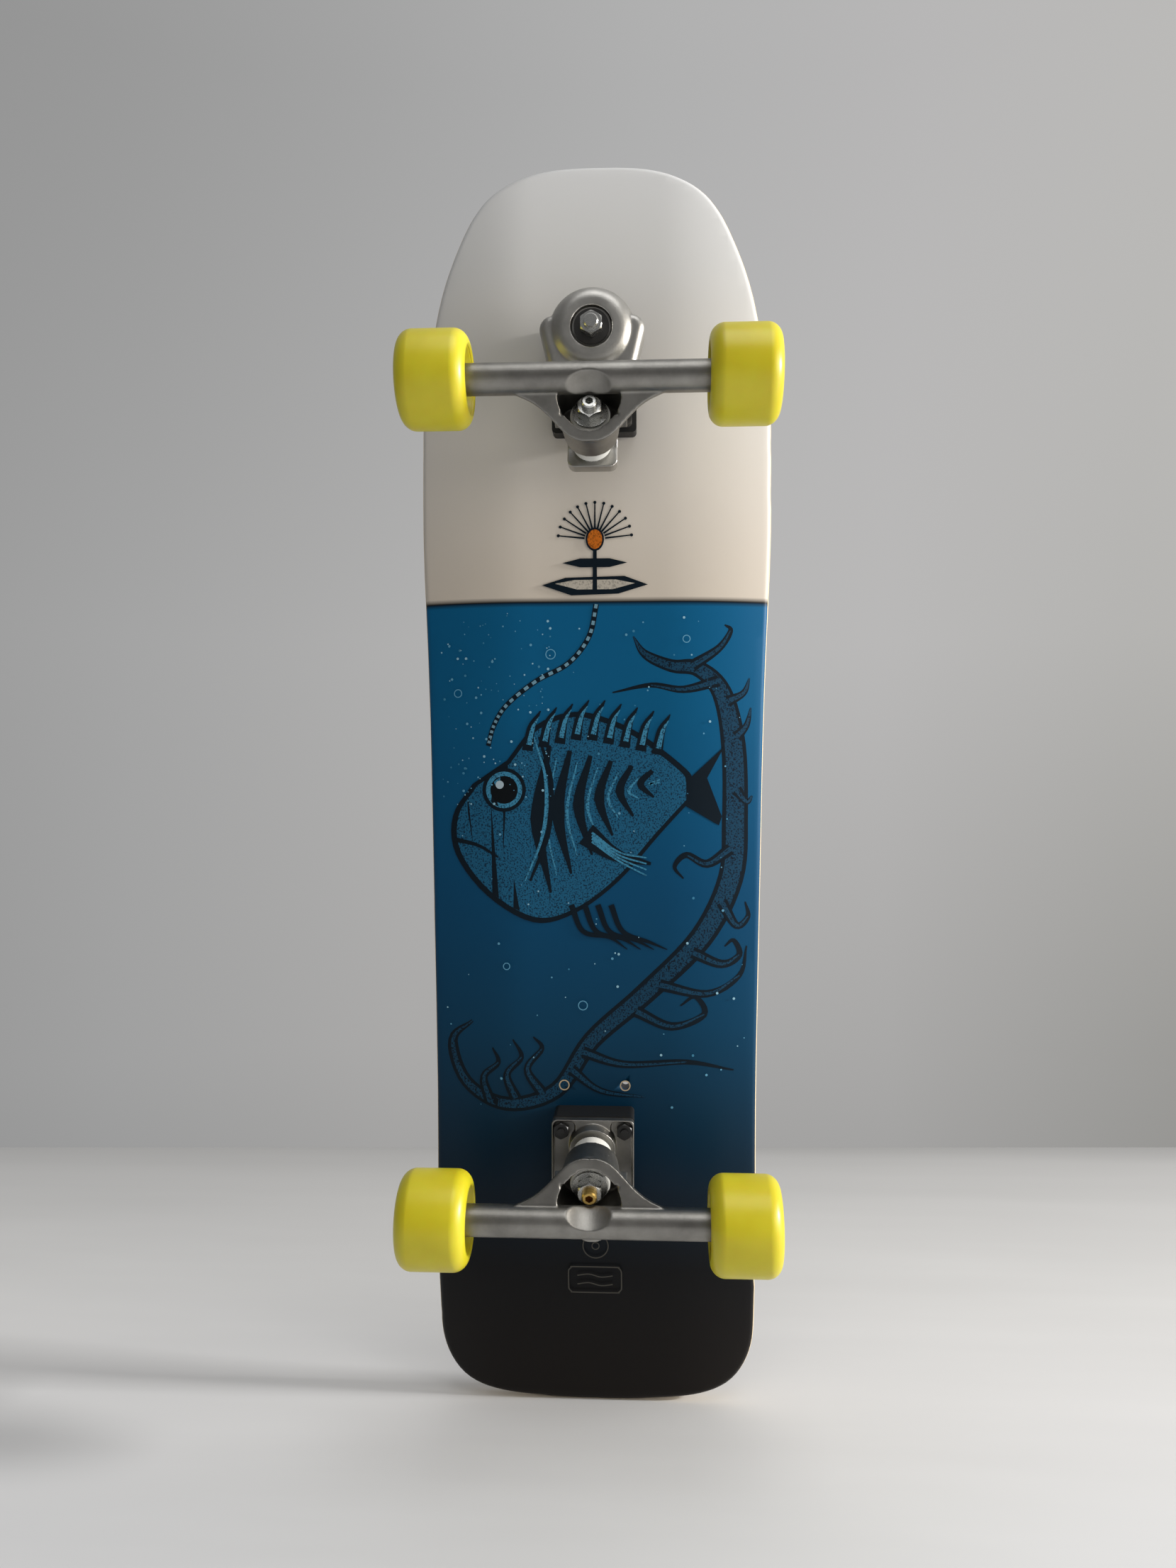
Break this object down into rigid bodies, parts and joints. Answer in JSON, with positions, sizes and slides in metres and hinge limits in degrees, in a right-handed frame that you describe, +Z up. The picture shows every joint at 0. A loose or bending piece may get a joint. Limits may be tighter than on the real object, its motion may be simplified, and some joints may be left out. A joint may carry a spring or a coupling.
{
  "type": "surfskate",
  "caption": "Surfskate: wide kicktail maple deck with a printed underside, swinging sprung front truck, leaning rear truck and soft urethane wheels.",
  "frame": {"origin": "on the ground under the middle of the board, standing on its wheels", "axes": "+X towards the nose, +Y to the rider's left, +Z up"},
  "size_m": [0.858, 0.241, 0.1486],
  "materials": {
    "maple_deck": "screen-printed satin lacquer over maple veneer, bare waxed side wall",
    "grip_tape": "black silicon-carbide grit",
    "black_urethane": "moulded black urethane",
    "cast_aluminium": "tumbled gravity-cast aluminium",
    "black_steel": "black oxide",
    "zinc_steel": "bright zinc plate",
    "dark_washer": "dark phosphate",
    "bronze_bush": "sintered bronze",
    "bearing_steel": "ground bearing steel",
    "clear_urethane": "cloudy white cast urethane",
    "brass_kingpin": "yellow zinc",
    "yellow_urethane": "cast urethane, lemon yellow, smooth",
    "white_core": "moulded nylon"
  },
  "bodies": {
    "board": {"deck": "maple_deck", "grip_tape": "grip_tape", "rear_riser": "black_urethane", "front_riser": "black_urethane", "rear_baseplate": "cast_aluminium", "front_baseplate": "cast_aluminium", "rear_mounting_bolts": "black_steel", "rear_mounting_nuts": "black_steel", "front_mounting_bolts": "black_steel", "front_mounting_nuts": "black_steel", "swing_pivot_bolt": "zinc_steel", "swing_pivot_nut": "zinc_steel", "swing_washer": "dark_washer", "thrust_race_upper": "bearing_steel", "rear_kingpin": "brass_kingpin", "rear_kingpin_nut": "zinc_steel", "rear_cup_washers": "zinc_steel", "rear_board_bushing": "clear_urethane", "rear_road_bushing": "clear_urethane", "rear_pivot_cup": "black_urethane"},
    "swing_arm": {"swing_arm": "cast_aluminium", "swing_sleeve": "bronze_bush", "thrust_race_lower": "bearing_steel", "thrust_balls": "bearing_steel", "torsion_spring": "zinc_steel", "front_kingpin": "zinc_steel", "front_kingpin_nut": "zinc_steel", "front_cup_washers": "zinc_steel", "front_board_bushing": "clear_urethane", "front_road_bushing": "clear_urethane", "front_pivot_cup": "black_urethane"},
    "front_hanger": {"front_hanger": "cast_aluminium", "front_axle": "zinc_steel", "front_axle_nuts": "zinc_steel", "front_speed_washers": "zinc_steel", "front_spacers": "zinc_steel", "front_bearing_inner_rings": "bearing_steel"},
    "rear_hanger": {"rear_hanger": "cast_aluminium", "rear_axle": "zinc_steel", "rear_axle_nuts": "zinc_steel", "rear_speed_washers": "zinc_steel", "rear_spacers": "zinc_steel", "rear_bearing_inner_rings": "bearing_steel"},
    "front_left_wheel": {"front_left_wheel": "yellow_urethane", "front_left_core": "white_core", "front_left_outer_rings": "bearing_steel", "front_left_balls": "bearing_steel"},
    "front_right_wheel": {"front_right_wheel": "yellow_urethane", "front_right_core": "white_core", "front_right_outer_rings": "bearing_steel", "front_right_balls": "bearing_steel"},
    "rear_left_wheel": {"rear_left_wheel": "yellow_urethane", "rear_left_core": "white_core", "rear_left_outer_rings": "bearing_steel", "rear_left_balls": "bearing_steel"},
    "rear_right_wheel": {"rear_right_wheel": "yellow_urethane", "rear_right_core": "white_core", "rear_right_outer_rings": "bearing_steel", "rear_right_balls": "bearing_steel"}
  },
  "joints": [
    {"name": "swing", "type": "hinge", "parent": "board", "child": "swing_arm", "pos_m": [0.295, 0, 0.07], "axis": [0, 0, 1], "range_deg": [-25, 25], "stiffness_Nm_per_rad": 12, "deforming": ["torsion_spring"]},
    {"name": "front_lean", "type": "hinge", "parent": "swing_arm", "child": "front_hanger", "pos_m": [0.2285, 0, 0.0561], "axis": [0.9426, 0, 0.3338], "range_deg": [-15, 15], "stiffness_Nm_per_rad": 60, "deforming": ["front_board_bushing", "front_road_bushing"]},
    {"name": "rear_lean", "type": "hinge", "parent": "board", "child": "rear_hanger", "pos_m": [-0.24, 0, 0.0561], "axis": [-0.9426, 0, 0.3338], "range_deg": [-15, 15], "stiffness_Nm_per_rad": 60, "deforming": ["rear_board_bushing", "rear_road_bushing"]},
    {"name": "front_left_spin", "type": "hinge", "parent": "front_hanger", "child": "front_left_wheel", "pos_m": [0.252, 0.0945, 0.03], "axis": [0, 1, 0], "continuous": true},
    {"name": "front_right_spin", "type": "hinge", "parent": "front_hanger", "child": "front_right_wheel", "pos_m": [0.252, -0.0945, 0.03], "axis": [0, 1, 0], "continuous": true},
    {"name": "rear_left_spin", "type": "hinge", "parent": "rear_hanger", "child": "rear_left_wheel", "pos_m": [-0.2635, 0.0945, 0.03], "axis": [0, 1, 0], "continuous": true},
    {"name": "rear_right_spin", "type": "hinge", "parent": "rear_hanger", "child": "rear_right_wheel", "pos_m": [-0.2635, -0.0945, 0.03], "axis": [0, 1, 0], "continuous": true}
  ]
}
